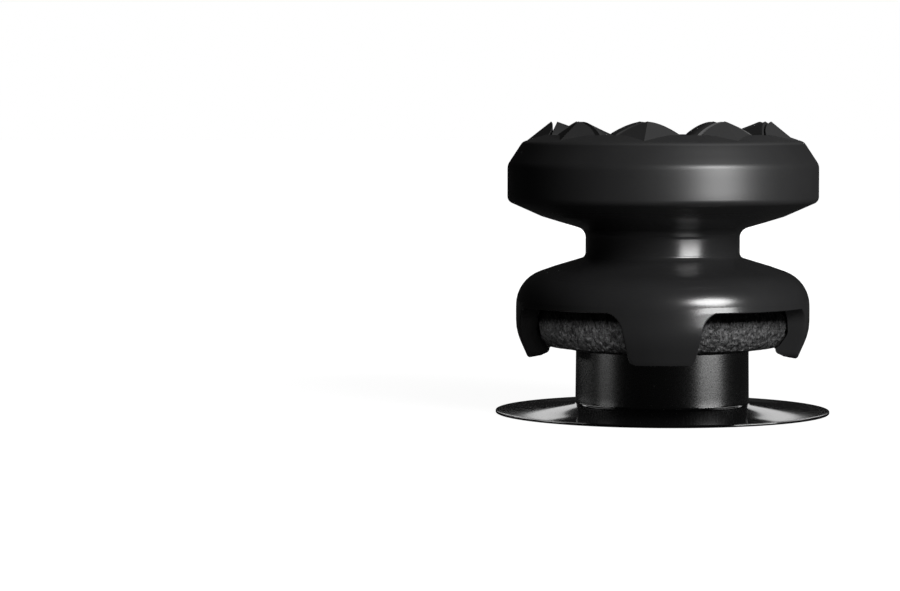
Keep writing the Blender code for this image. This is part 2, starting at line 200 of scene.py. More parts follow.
# %% [markdown]
# ## Rings and profiles
#
# All three pieces are round, so each is one grid: rings of points round the axis, from the middle of
# the top, down the outside, and back up inside to the middle of the underside. A ring may change
# its radius and its height from point to point, which is enough for studs and for prongs. A Screw
# modifier could turn the profiles too, but the studs and arches would then need Booleans, which leave
# slivers along their cuts. Here every edge lies on a row or a column of the grid.


# %% Grid tools
def filleted(corners, step=math.radians(9.5)):
    """The open line through corners (radius, height, fillet).

    Each corner with a fillet is replaced by the arc that touches both of its sides. The arc starts
    at fillet x tan(bend / 2) before the corner, and each of its steps turns by this angle at most."""
    points = np.array([corner[:2] for corner in corners], float)
    line = [points[:1]]
    for before, here, after, corner in zip(points, points[1:], points[2:], corners[1:]):
        back = (before - here) / np.linalg.norm(before - here)
        onward = (after - here) / np.linalg.norm(after - here)
        bend = math.pi - math.acos(np.clip(back @ onward, -1.0, 1.0))
        if corner[2] == 0.0:
            line.append(here[None])
            continue
        start = here + back * corner[2] * math.tan(bend / 2)
        middle = (back + onward) / np.linalg.norm(back + onward)
        centre = here + middle * corner[2] / math.cos(bend / 2)
        side = 1.0 if back[0] * onward[1] - back[1] * onward[0] < 0 else -1.0
        count = max(2, math.ceil(bend / step))
        angle = side * bend * np.arange(count + 1) / count
        arm = start - centre
        across = np.cos(angle) * arm[0] - np.sin(angle) * arm[1]
        up = np.sin(angle) * arm[0] + np.cos(angle) * arm[1]
        line.append(centre + np.stack([across, up], axis=-1))
    line.append(points[-1:])
    return np.concatenate(line)


def bowed(start, end, rise, count):
    """Points on a shallow arch: the chord from start to end, plus rise times a parabola across it."""
    start, end = np.array(start, float), np.array(end, float)
    share = np.linspace(0.0, 1.0, count + 1)[:, None]
    across = np.array([start[1] - end[1], end[0] - start[0]]) / np.linalg.norm(end - start)
    return start + (end - start) * share + across * rise * 4 * share * (1 - share)


def divided(line, longest):
    """The same line, with its long stretches cut into even parts no longer than this."""
    step = np.linalg.norm(np.diff(line, axis=0), axis=1)
    counts = np.maximum(1, np.ceil(step / longest).astype(int))
    place = np.concatenate([i + np.arange(n) / n for i, n in enumerate(counts)] + [[len(step)]])
    index = np.arange(len(line))
    return np.stack([np.interp(place, index, line[:, 0]), np.interp(place, index, line[:, 1])], axis=-1)


def ring(radius, height, angle):
    """Points round the axis: x is radius times sine, y is minus radius times cosine.

    So the angle runs from the front, -Y, towards +X."""
    radius, height, angle = np.broadcast_arrays(radius, height, angle)
    return np.stack([radius * np.sin(angle), -radius * np.cos(angle), height], axis=-1)


def closed_mesh(name, rings, top, bottom):
    """Quads join each ring to the next, and a fan closes each end on a point of the axis."""
    rows, columns = rings.shape[:2]
    points = np.concatenate([rings.reshape(-1, 3), [(0.0, 0.0, top), (0.0, 0.0, bottom)]])
    here = np.arange(rows * columns).reshape(rows, columns)
    right = np.roll(here, -1, axis=1)
    quads = np.stack([here[:-1], here[1:], right[1:], right[:-1]], axis=-1).reshape(-1, 4)
    first = np.full(columns, rows * columns)
    top_fan = np.stack([first, here[0], right[0]], axis=-1)
    bottom_fan = np.stack([here[-1], first + 1, right[-1]], axis=-1)
    fans = np.concatenate([top_fan, bottom_fan])
    starts = np.concatenate([np.arange(len(quads)) * 4, len(quads) * 4 + np.arange(len(fans)) * 3])
    mesh = bpy.data.meshes.new(name)
    mesh.vertices.add(len(points))
    mesh.vertices.foreach_set("co", (points * MM).astype(np.float32).ravel())
    mesh.loops.add(quads.size + fans.size)
    corners = np.concatenate([quads.ravel(), fans.ravel()]).astype(np.int32)
    mesh.loops.foreach_set("vertex_index", corners)
    mesh.polygons.add(len(quads) + len(fans))
    mesh.polygons.foreach_set("loop_start", starts.astype(np.int32))
    mesh.update(calc_edges=True)
    mesh.validate()
    return mesh


SHARP_ANGLE = math.radians(16.0)


def piece(name, mesh, node):
    """A finished piece in place of a node of the frame: smooth, but for its sharp edges."""
    mesh.shade_smooth()
    mesh.set_sharp_from_angle(angle=SHARP_ANGLE)
    obj = bpy.data.objects.new(name, mesh)
    bpy.context.scene.collection.objects.link(obj)
    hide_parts(node)
    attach(obj, "root")
    size = [round(float(side) / MM, 2) for side in obj.dimensions]
    print(name, len(mesh.vertices), "points, size in mm", size)
    return obj


# %% [markdown]
# ## The head and its studs
#
# The studs keep the thumb from slipping. Two rings of nine stand back to back round a shallow dish.
# The outer ones are wedges: two flat facets that meet on a ridge. The inner ones are petals: an
# arched crest, from which a fan slopes down to a point in the dish. A narrow groove parts the two.
# Eighteen separate studs could be joined to the head, but a height for each point of the grid is
# simpler. Its columns follow the fans, and its rows follow the crests, so every crease stays crisp.

# %% Sizes of the head, in mm
STUDS = 9
STUD_COLUMNS = 64
COLUMNS = STUDS * STUD_COLUMNS
STUD_TURN = math.radians(-7.6)

LEDGE_FOOT, LEDGE_FOOT_RADIUS = 18.99, 9.835
LEDGE_TOP, LEDGE_TOP_RADIUS = 19.49, 8.365
LEDGE_SLOPE = (LEDGE_TOP - LEDGE_FOOT) / (LEDGE_FOOT_RADIUS - LEDGE_TOP_RADIUS)
DISH_EDGE, DISH_RADIUS, DISH_DEPTH = 19.37, 7.715, 0.50
LAND_SLOPE = (LEDGE_TOP - DISH_EDGE) / (LEDGE_TOP_RADIUS - DISH_RADIUS)

APEX_RADIUS, APEX_HEIGHT = 7.80, 20.44
FACET_OUTWARD, FACET_SIDEWAYS = 0.7848, 0.4027
WEDGE_HALF_WIDTH, WEDGE_SWEEP, WEDGE_BOW = 1.95, 0.21, 0.40

PETAL_CREST_RADIUS, PETAL_CREST_HEIGHT = 7.39, 20.41
PETAL_HALF_WIDTH, PETAL_RISE, PETAL_LEAN, PETAL_CROWN_POWER = 2.25, 0.92, 0.42, 1.60
PETAL_TIP_RADIUS = 3.00
PETAL_EDGE = TURN / COLUMNS * 26
EDGE = 0.02

column = np.arange(COLUMNS)
stud_angle = ((column + STUD_COLUMNS // 2) % STUD_COLUMNS - STUD_COLUMNS // 2) * TURN / COLUMNS
head_angle = STUD_TURN + column * TURN / COLUMNS
print(STUDS, "studs in each ring,", COLUMNS, "columns of the grid")


# %% Surfaces of the head
def land(radius):
    """Height of the bare head: a parabola in the dish, then its rim's two slopes."""
    dish = DISH_EDGE - DISH_DEPTH * (1 - (radius / DISH_RADIUS) ** 2)
    inner = DISH_EDGE + LAND_SLOPE * (radius - DISH_RADIUS)
    outer = LEDGE_TOP - LEDGE_SLOPE * (radius - LEDGE_TOP_RADIUS)
    return np.where(radius < DISH_RADIUS, dish, np.minimum(inner, outer))


def facet(radius):
    """Height of the wedges' planes: from the apex down, by one slope outwards and one to each side."""
    outwards = radius * np.cos(stud_angle) - APEX_RADIUS
    sideways = radius * np.abs(np.sin(stud_angle))
    return APEX_HEIGHT - FACET_OUTWARD * outwards - FACET_SIDEWAYS * sideways


def crest_radii(outwards, sideways):
    """The radius of a crest at each column, from points of the crest in the stud's own plan."""
    return np.interp(np.abs(stud_angle), np.arctan2(sideways, outwards), np.hypot(outwards, sideways))


# The petal's face is flat and leans inwards, so its crest stands further out where it is lower
part = np.linspace(0.0, 1.1, 221)
drop = part ** PETAL_CROWN_POWER
crest = crest_radii(PETAL_CREST_RADIUS + PETAL_LEAN * drop, PETAL_HALF_WIDTH * part)
petal_drop = PETAL_RISE * (crest * np.cos(stud_angle) - PETAL_CREST_RADIUS) / PETAL_LEAN
on_petal = np.clip((1 - np.abs(stud_angle) / PETAL_EDGE) / 0.05, 0.0, 1.0)
petal_rise = np.maximum(PETAL_CREST_HEIGHT - petal_drop - land(crest), 0.0) * on_petal
petal_crest = land(crest) + petal_rise

# The wedge's wall stands upright under a crest that bows inwards
bow = WEDGE_BOW * part * np.clip(1 - part, 0.0, 1.0)
wall = crest_radii(APEX_RADIUS + WEDGE_SWEEP * part ** 3 - bow, WEDGE_HALF_WIDTH * part)
wall = np.clip(wall, crest + 4 * EDGE, LEDGE_TOP_RADIUS - 2 * EDGE)
print("the petals stand", round(float(petal_rise.max()), 2), "mm over the dish")


def petal_face(radius):
    """Height of the petals' outer faces: one steep slope down from the crest."""
    return petal_crest - PETAL_RISE / PETAL_LEAN * np.cos(stud_angle) * (radius - crest)


def fan_ring(share):
    """A ring through the fans, at this share of the way from each tip out to its crest.

    In plan a point runs straight from the tip to its place on the crest. Between two petals it
    keeps the radius of the petal's edge. Its height over the dish grows evenly along the way."""
    on_fan = np.clip(stud_angle, -PETAL_EDGE, PETAL_EDGE)
    outwards = PETAL_TIP_RADIUS + share * (crest * np.cos(on_fan) - PETAL_TIP_RADIUS)
    sideways = share * crest * np.sin(on_fan)
    radius = np.hypot(outwards, sideways)
    spread = np.arctan2(sideways, outwards)
    gap = (np.abs(stud_angle) - PETAL_EDGE) / (TURN / STUDS / 2 - PETAL_EDGE)
    valley = np.sign(stud_angle) * TURN / STUDS / 2
    angle = np.where(gap > 0, spread + (valley - spread) * gap, spread)
    return radius, land(radius) + share * petal_rise, angle - stud_angle


# %% Rings of the head
FAN_START, FAN_END, FAN_LAST = 0.03, 0.95, 0.99
DISH_ROWS, FAN_ROWS, FACE_ROWS, FACET_ROWS, LEDGE_ROWS = 9, 15, 4, 8, 2
VALLEY_END = 9.20


def dish_rings():
    """Rings from the middle of the dish out to the tips, easing from even columns to the fans'."""
    radius, _, shift = fan_ring(FAN_START)
    return [
        ring(radius * q, land(radius * q), head_angle + shift * q ** 3)
        for q in np.linspace(0.0, 1.0, DISH_ROWS + 1)[1:-1]
    ]


def fan_rings():
    """Rings from the tips out to the crests, the last one close under them."""
    shares = np.append(np.linspace(FAN_START, FAN_END, FAN_ROWS), FAN_LAST)
    made = []
    for share in shares:
        radius, height, shift = fan_ring(share)
        made.append(ring(radius, height, head_angle + shift))
    return made


def stud_rings(ledge_end):
    """Over the petals' crests, down their faces, up the wedges' walls and down the facets."""
    top = crest + EDGE / 2
    made = [ring(top, np.maximum(land(top), petal_crest - EDGE / 2), head_angle)]
    face_top = crest + 1.5 * EDGE
    face_foot = crest + petal_rise / (PETAL_RISE / PETAL_LEAN + LAND_SLOPE)
    face_foot = np.clip(face_foot, face_top + EDGE / 2, wall - 1.5 * EDGE)
    for share in np.linspace(0.0, 1.0, FACE_ROWS):
        radius = face_top + (face_foot - face_top) * share
        made.append(ring(radius, np.maximum(land(radius), petal_face(radius)), head_angle))
    radius = wall - EDGE
    made.append(ring(radius, np.maximum(land(radius), petal_face(radius)), head_angle))
    made.append(ring(wall, np.maximum(land(wall), facet(wall) - 2 * EDGE), head_angle))
    # The facets end where they meet the ledge's cone; in the valleys the rows start on its rim
    reach = APEX_HEIGHT - LEDGE_TOP + FACET_OUTWARD * APEX_RADIUS - LEDGE_SLOPE * LEDGE_TOP_RADIUS
    fall = FACET_OUTWARD * np.cos(stud_angle) + FACET_SIDEWAYS * np.abs(np.sin(stud_angle)) - LEDGE_SLOPE
    valley = facet(wall) < land(wall) + EDGE / 2
    start = np.where(valley, LEDGE_TOP_RADIUS, wall + EDGE)
    foot = np.where(valley, VALLEY_END, np.maximum(reach / fall, LEDGE_TOP_RADIUS))
    for share in np.linspace(0.0, 1.0, FACET_ROWS + 1):
        radius = start + (foot - start) * share
        made.append(ring(radius, np.maximum(land(radius), facet(radius)), head_angle))
    for share in np.linspace(0.0, 1.0, LEDGE_ROWS + 1)[1:-1]:
        radius = foot + (ledge_end - foot) * share
        made.append(ring(radius, land(radius), head_angle))
    return made


# %% [markdown]
# ## Neck, cup and prongs
#
# The cup slips over the rubber cap, and its prongs spring apart and snap in below. Down to the top of
# the arches the grip is a turned shape. There each column takes the place of a point on the prongs'
# outline, as seen from outside, so that the grid ends exactly on the cut edge. A Boolean could cut
# the arches out, but its edge could not be rounded as evenly. The wall has its thickness, and the
# inner side carries the hooks that grip under the cap.

# %% Sizes of the body, in mm
HEAD_RADIUS, BAND_TOP, BAND_FOOT = 10.885, 17.39, 14.85
KINK_RADIUS, KINK = 8.505, 13.79
NECK_RADIUS, NECK_TOP, NECK_FOOT = 5.405, 12.84, 10.94
SHOULDER_TOP_RADIUS, SHOULDER_TOP, SHOULDER, SHOULDER_FILLET = 7.58, 10.28, 9.33, 2.50
CUP_RADIUS, CUP_INNER_RADIUS, CEILING = 10.28, 9.07, 8.40
SPLIT = 7.95
PRONGS = 4
PRONG_TIP, TIP_HALF_WIDTH, TIP_FILLET = 3.95, 2.17, 0.56
ARCH_TOP, ROOT, ROOT_HALF_WIDTH, ARCH_FILLET = 7.52, 7.59, 2.98, 1.50
TAPER_TOP, TIP_RADIUS = 5.75, 9.48
TIP_INNER_RADIUS, TIP_INNER = 8.70, 4.13
NOSE_RADIUS, NOSE_FOOT, NOSE_TOP, NOSE_FILLET = 8.17, 4.40, 4.70, 0.28
HOOK_RADIUS, HOOK_TOP, RAMP_TOP = 8.45, 4.88, 5.75
EDGE_ROUNDING = 0.06
BODY_STEP, INSIDE_STEP, LEVEL_GAP = 0.60, 0.35, 0.01

body_line = filleted(
    [
        (LEDGE_TOP_RADIUS, LEDGE_TOP, 0.0),
        (LEDGE_FOOT_RADIUS, LEDGE_FOOT, 0.50),
        (HEAD_RADIUS, BAND_TOP, 0.85),
        (HEAD_RADIUS, BAND_FOOT, 0.50),
        (KINK_RADIUS, KINK, 2.00),
        (NECK_RADIUS, NECK_TOP, 0.73),
        (NECK_RADIUS, NECK_FOOT, 0.40),
        (SHOULDER_TOP_RADIUS, SHOULDER_TOP, 0.60),
        (CUP_RADIUS, SHOULDER, SHOULDER_FILLET),
        (CUP_RADIUS, TAPER_TOP, 0.0),
    ]
)[1:]
outer_line = filleted(
    [
        (SHOULDER_TOP_RADIUS, SHOULDER_TOP, 0.0),
        (CUP_RADIUS, SHOULDER, SHOULDER_FILLET),
        (CUP_RADIUS, TAPER_TOP, 3.60),
        (TIP_RADIUS, PRONG_TIP, 0.0),
    ]
)[::-1]
inner_line = filleted(
    [
        (TIP_INNER_RADIUS, TIP_INNER, 0.0),
        (NOSE_RADIUS, NOSE_FOOT, NOSE_FILLET),
        (NOSE_RADIUS, NOSE_TOP, 0.05),
        (HOOK_RADIUS, HOOK_TOP, 0.10),
        (CUP_INNER_RADIUS, RAMP_TOP, 0.80),
        (CUP_INNER_RADIUS, CEILING, 0.0),
    ]
)


def outer_radius(height):
    """The outside of the cup and the prongs: straight between the points of its line."""
    return np.interp(height, outer_line[:, 1], outer_line[:, 0])


def inner_radius(height):
    """The inside of the cup and the prongs, in the same way."""
    return np.interp(height, inner_line[:, 1], inner_line[:, 0])


body_line = body_line[body_line[:, 1] > SPLIT]
body_line = divided(np.concatenate([body_line, [(outer_radius(SPLIT), SPLIT)]]), BODY_STEP)
print("from the ledge to the prongs:", len(body_line), "turned rings")


# %% Prong columns
HALF_COLUMNS = COLUMNS // PRONGS // 2
WING = ROOT_HALF_WIDTH + ARCH_FILLET
DIAGONAL = math.sin(TURN / 8)


def prong_edge():
    """Half of a prong's outline, shared out evenly by its length from the tip's middle to the arch's.

    Gives each column's place across, its height, and the direction into the plastic."""
    side = filleted(
        [
            (0.0, PRONG_TIP, 0.0),
            (TIP_HALF_WIDTH, PRONG_TIP, TIP_FILLET),
            (ROOT_HALF_WIDTH, ROOT, ARCH_FILLET),
            (WING, ROOT + 0.05, 0.0),
        ],
        step=math.radians(4.0),
    )
    side = side[side[:, 1] < ARCH_TOP]
    arch = [(side[-1, 0] + 0.10, ARCH_TOP), (CUP_RADIUS * DIAGONAL, ARCH_TOP)]
    line = divided(np.concatenate([side, arch]), 0.05)
    along = np.concatenate([[0.0], np.cumsum(np.linalg.norm(np.diff(line, axis=0), axis=1))])
    even = np.linspace(0.0, along[-1], HALF_COLUMNS + 1)
    across, height = np.interp(even, along, line[:, 0]), np.interp(even, along, line[:, 1])
    run, rise = np.gradient(across), np.gradient(height)
    length = np.hypot(run, rise)
    return across, height, -rise / length, run / length


edge_across, edge_height, into_across, into_up = prong_edge()
print("arches up to", round(float(edge_height.max()), 2), "mm,", HALF_COLUMNS, "columns to half a prong")

# Columns count from a prong's middle; the half outline is mirrored to its other side
prong_column = np.round(head_angle / (TURN / COLUMNS)).astype(int)
quarter = COLUMNS // PRONGS
offset = (prong_column + HALF_COLUMNS) % quarter - HALF_COLUMNS
prong_turn = (prong_column - offset) * TURN / COLUMNS
mirror = np.sign(offset)
steps_out = np.abs(offset)
edge_across, edge_height = edge_across[steps_out], edge_height[steps_out]
into_across, into_up = into_across[steps_out], into_up[steps_out]


def column_angle(across, radius):
    """The angle of a point that lies this far across from a prong's middle.

    It is the prong's own angle, and to each side of it the arcsine of across over radius. Columns of
    the prong run straight inwards. Those over the arch draw together, so that the last one lies on
    the diagonal at every radius."""
    scale = (radius * DIAGONAL - WING) / (CUP_RADIUS * DIAGONAL - WING)
    across = np.where(across > WING, WING + (across - WING) * scale, across)
    return prong_turn + mirror * np.arcsin(across / radius)


# %% Rings of the body
BLEND_TOP, BLEND_FOOT = 13.5, 9.4
PRONG_ROWS, WALL_ROWS, CEILING_ROWS = 14, 6, 4


def body_rings():
    """Turned rings. Between head and cup the columns ease over from the studs' to the prongs'.

    The ease is a smooth step: three times the square of the way, less twice its cube."""
    cup_angle = column_angle(edge_across, CUP_RADIUS)
    made = []
    for radius, height in body_line:
        ease = np.clip((BLEND_TOP - height) / (BLEND_TOP - BLEND_FOOT), 0.0, 1.0)
        ease = ease * ease * (3 - 2 * ease)
        made.append(ring(radius, height, head_angle + (cup_angle - head_angle) * ease))
    return made


def prong_rings():
    """Down the outside to the rounded edge, across the wall, and up the inside to the ceiling."""
    made = []
    start_across = edge_across + into_across * EDGE_ROUNDING
    start_height = edge_height + into_up * EDGE_ROUNDING
    for share in np.linspace(0.0, 1.0, PRONG_ROWS + 1)[1:]:
        across = edge_across + (start_across - edge_across) * share
        height = SPLIT + (start_height - SPLIT) * share
        radius = outer_radius(height)
        made.append(ring(radius, height, column_angle(across, radius)))
    for turn in np.radians([30.0, 60.0, 90.0]):
        inset = EDGE_ROUNDING * (1 - math.sin(turn))
        across = edge_across + into_across * inset
        height = edge_height + into_up * inset
        radius = outer_radius(height) - EDGE_ROUNDING * (1 - math.cos(turn))
        made.append(ring(radius, height, column_angle(across, radius)))
    outer = outer_radius(edge_height) - EDGE_ROUNDING
    inner = inner_radius(np.maximum(edge_height, TIP_INNER))
    tip_slope = (TIP_INNER - PRONG_TIP) / (TIP_RADIUS - TIP_INNER_RADIUS)
    for share in np.linspace(0.0, 1.0, WALL_ROWS + 1)[1:]:
        radius = outer + (inner - outer) * share
        height = np.maximum(edge_height, PRONG_TIP + tip_slope * (TIP_RADIUS - EDGE_ROUNDING - radius))
        made.append(ring(radius, height, column_angle(edge_across, radius)))
    foot = height
    levels = divided(inner_line, INSIDE_STEP)[1:, 1]
    for i, level in enumerate(levels):
        height = np.maximum(level, foot + LEVEL_GAP * (i + 1)) if i < len(levels) - 1 else CEILING
        radius = inner_radius(np.minimum(height, CEILING))
        made.append(ring(radius, height, column_angle(edge_across, radius)))
    for share in np.linspace(1.0, 0.0, CEILING_ROWS + 1)[1:-1]:
        ceiling_angle = column_angle(edge_across, CUP_INNER_RADIUS)
        made.append(ring(CUP_INNER_RADIUS * share, CEILING, ceiling_angle))
    return made


grip_rings = np.stack(
    dish_rings() + fan_rings() + stud_rings(body_line[0, 0]) + body_rings() + prong_rings()
)
grip_mesh = closed_mesh("studded_grip", grip_rings, DISH_EDGE - DISH_DEPTH, CEILING)
studded_grip = piece("studded_grip", grip_mesh, "thumb_grip")
print("grip:", len(grip_rings), "rings of", COLUMNS, "points")

# %% [markdown]
# ## The rubber cap
#
# Its side bulges, and its skin is eroded into small lumps and pits a fifth of a millimetre wide.
# The larger lumps are real relief: the sum of many sine waves that run in random directions,
# taken only inwards, so that the skin stays clear of the cup. Bump alone would leave the outline
# smooth, which shows between the prongs. Finer grain is left to the material.


# %% Relief
def rough_field(points, wavelength, waves, seed):
    """The sum of sine waves in random directions, each near one wavelength, scaled to about -1 to 1."""
    draw = np.random.default_rng(seed)
    direction = draw.normal(size=(waves, 3))
    direction /= np.linalg.norm(direction, axis=1, keepdims=True)
    frequency = direction * TURN / (wavelength * draw.uniform(0.7, 1.5, (waves, 1)))
    phase = draw.uniform(0.0, TURN, waves)
    return np.sin(points @ frequency.T + phase).sum(axis=-1) / math.sqrt(2 * waves)


# %% Cap
CAP_COLUMNS = 800
CAP_RELIEF = 0.18
LUMP_WIDTH, PIT_WIDTH, WAVES = 0.42, 0.24, 60
GRAIN_STRETCH = 0.55
CAP_MIDDLE, CAP_TOP, CAP_TOP_RADIUS, CAP_TOP_SAG, CAP_CORNER = 7.50, 8.30, 7.96, 0.20, 0.60
CAP_SIDE_TOP, CAP_SIDE_FOOT, CAP_BULGE = (8.66, 7.70), (8.24, 4.80), 0.51
COLLAR_RADIUS, POCKET_RADIUS, POCKET_FOOT, POCKET_TOP = 6.14, 7.35, 5.07, 6.80

cap_side = bowed(CAP_SIDE_TOP, CAP_SIDE_FOOT, CAP_BULGE, 48)
cap_top = bowed((0.0, CAP_MIDDLE), (CAP_TOP_RADIUS, CAP_TOP), -CAP_TOP_SAG, 8)
cap_corner = filleted(
    [(CAP_TOP_RADIUS, CAP_TOP, 0.0), (CAP_SIDE_TOP[0], CAP_TOP, CAP_CORNER), (*CAP_SIDE_TOP, 0.0)],
    math.radians(15),
)[1:-1]
cap_under = [(8.05, 4.72), (7.6, 4.68), (7.1, 4.59), (6.6, 4.50), (COLLAR_RADIUS, 4.42)]
cap_inside = [
    (COLLAR_RADIUS, POCKET_FOOT),
    (POCKET_RADIUS, POCKET_FOOT),
    (POCKET_RADIUS, POCKET_TOP),
    (4.0, POCKET_TOP),
    (1.0, POCKET_TOP),
]
cap_line = np.concatenate([cap_top[1:], cap_corner, cap_side, cap_under, cap_inside])
cap_angle = np.arange(CAP_COLUMNS) * TURN / CAP_COLUMNS
cap_rings = ring(cap_line[:, :1], cap_line[:, 1:], cap_angle[None])

# Only the outer skin is rough, and the underside's edge a little less
skin = np.zeros(len(cap_line))
first = len(cap_top) - 1 + len(cap_corner)
skin[first : first + len(cap_side)] = 1.0
skin[first + len(cap_side) : first + len(cap_side) + 4] = 0.7
upright = cap_rings * (1.0, 1.0, GRAIN_STRETCH)
lumps = rough_field(upright, LUMP_WIDTH, WAVES, seed=3)
pits = rough_field(upright, PIT_WIDTH, WAVES, seed=4)
relief = 0.6 * lumps + 0.5 * pits
depth = CAP_RELIEF * skin[:, None] * np.clip(0.5 - 0.5 * relief, 0.0, 1.2)
inwards = 1.0 - depth / np.maximum(np.hypot(cap_rings[..., 0], cap_rings[..., 1]), 1.0)
cap_rings[..., 0] *= inwards
cap_rings[..., 1] *= inwards
cap_mesh = closed_mesh("grained_cap", cap_rings, CAP_MIDDLE, POCKET_TOP)
grained_cap = piece("grained_cap", cap_mesh, "thumb_cap")

# %% [markdown]
# ## The thumbstick
#
# One turned moulding: a core inside the cap, a hollow post, and the thin skirt, which rises a little
# towards the post. The shaft's socket hangs inside the post. It is round with two flats, so its
# radius is the smaller of the circle's and the flats' at each angle. All the rest is one profile,
# carried round in even steps, so no modifier is needed.

# %% Stick
STICK_COLUMNS = 480
CORE_TOP, CORE_RADIUS, CORE_FOOT = 6.75, 7.30, 5.12
POST_TOP_RADIUS, POST_RADIUS, POST_FOOT = 6.05, 6.09, 0.70
SKIRT_RADIUS, SKIRT_INNER_RADIUS, SKIRT_EDGE, SKIRT_SAG = 11.70, 11.25, 0.18, 0.07
BORE, BORE_FOOT, BORE_TOP = 4.99, 0.30, 4.80
BOSS, BOSS_FOOT, SOCKET, SOCKET_FLAT, SOCKET_TOP = 3.05, 0.60, 2.15, 1.60, 3.9

skirt_top = bowed((POST_RADIUS, POST_FOOT), (SKIRT_RADIUS, SKIRT_EDGE), -SKIRT_SAG, 24)
upper = filleted(
    [
        (2.0, CORE_TOP, 0.0),
        (CORE_RADIUS, CORE_TOP, 0.10),
        (CORE_RADIUS, CORE_FOOT, 0.0),
        (POST_TOP_RADIUS, CORE_FOOT, 0.0),
        (POST_RADIUS, POST_FOOT, 0.12),
        (*skirt_top[2], 0.0),
    ]
)
lower = filleted(
    [
        (*skirt_top[-2], 0.0),
        (SKIRT_RADIUS, SKIRT_EDGE, 0.05),
        (SKIRT_RADIUS, 0.0, 0.05),
        (SKIRT_INNER_RADIUS, 0.0, 0.0),
        (BORE, BORE_FOOT, 0.08),
        (BORE, BORE_TOP, 0.25),
        (BOSS, BORE_TOP, 0.25),
        (BOSS, BOSS_FOOT, 0.06),
        (SOCKET + 0.15, BOSS_FOOT, 0.0),
    ],
    math.radians(22.5),
)[1:]
stick_line = divided(np.concatenate([upper, skirt_top[3:-1], lower]), 0.35)
stick_angle = np.arange(STICK_COLUMNS) * TURN / STICK_COLUMNS
stick_rings = ring(stick_line[:, :1], stick_line[:, 1:], stick_angle[None])
mouth = np.minimum(SOCKET, SOCKET_FLAT / np.maximum(np.abs(np.cos(stick_angle)), 0.1))
socket = [ring(mouth + 0.08, BOSS_FOOT, stick_angle)]
socket += [ring(mouth, height, stick_angle) for height in (0.68, 1.5, 2.5, SOCKET_TOP)]
socket += [ring(mouth * 0.5, SOCKET_TOP, stick_angle)]
stick_grid = np.concatenate([stick_rings, socket])
stick_mesh = closed_mesh("turned_stick", stick_grid, CORE_TOP, SOCKET_TOP)
turned_stick = piece("turned_stick", stick_mesh, "thumbstick")


# %% [markdown]
# ## Finishes
#
# Each finish is a Principled shader with its own grain. Noise on the object's own coordinates
# drives the roughness, the colour and a fine bump, so nothing slides when the view changes.


# %% Shader tools
def finish(name, colour, roughness, specular):
    """A new Principled material: its tree, its shader, and the object's coordinates."""
    material = bpy.data.materials.new(name)
    material.use_nodes = True
    tree = material.node_tree
    shader = tree.nodes["Principled BSDF"]
    shader.inputs["Base Color"].default_value = (*colour, 1.0)
    shader.inputs["Roughness"].default_value = roughness
    shader.inputs["Specular IOR Level"].default_value = specular
    place = tree.nodes.new("ShaderNodeTexCoord").outputs["Object"]
    return material, tree, shader, place


def noise(tree, place, per_mm, detail=2.0, rough=0.5, distortion=0.0):
    """Cloudy noise from 0 to 1, with this many lumps to a millimetre."""
    made = add_node(
        tree,
        "ShaderNodeTexNoise",
        Scale=per_mm / MM,
        Detail=detail,
        Roughness=rough,
        Distortion=distortion,
    )
    link(tree, place, made.inputs["Vector"])
    return made.outputs["Fac"]


def ranged(tree, value, low, high, to_low, to_high):
    """Maps a value from one range to another, held at the ends."""
    made = add_node(
        tree,
        "ShaderNodeMapRange",
        From_Min=low,
        From_Max=high,
        To_Min=to_low,
        To_Max=to_high,
    )
    link(tree, value, made.inputs["Value"])
    return made.outputs["Result"]


def height_of(tree, place):
    """The height over the floor, for a finish that changes from one level of a piece to another."""
    apart = tree.nodes.new("ShaderNodeSeparateXYZ")
    link(tree, place, apart.inputs[0])
    return apart.outputs["Z"]


def bump(tree, shader, height, depth_mm, strength=1.0):
    """Tilts the shading as if the surface rose by the height, from 0 to 1, times this depth."""
    made = add_node(tree, "ShaderNodeBump", Strength=strength, Distance=depth_mm * MM)
    link(tree, height, made.inputs["Height"])
    link(tree, made.outputs["Normal"], shader.inputs["Normal"])


def two_tone(tree, shader, factor, dark, light):
    """The base colour: dark where the factor is 0, light where it is 1, and mixed between."""
    made = tree.nodes.new("ShaderNodeMix")
    made.data_type = "RGBA"
    made.inputs["A"].default_value = (*dark, 1.0)
    made.inputs["B"].default_value = (*light, 1.0)
    link(tree, factor, made.inputs["Factor"])
    link(tree, made.outputs["Result"], shader.inputs["Base Color"])


# %% [markdown]
# The grip is one moulding, but its highlight is narrow on the neck and the cup, and wide on the band.
# So one material grows rougher with the height. Two materials would meet in a line.

# %% Satin grip plastic
SATIN, COARSE, MATT, SATIN_SPREAD = 0.23, 0.40, 0.60, 0.02
COARSE_START, COARSE_FULL = 13.9 * MM, 14.9 * MM
MATT_START, MATT_FULL = 18.78 * MM, 18.88 * MM


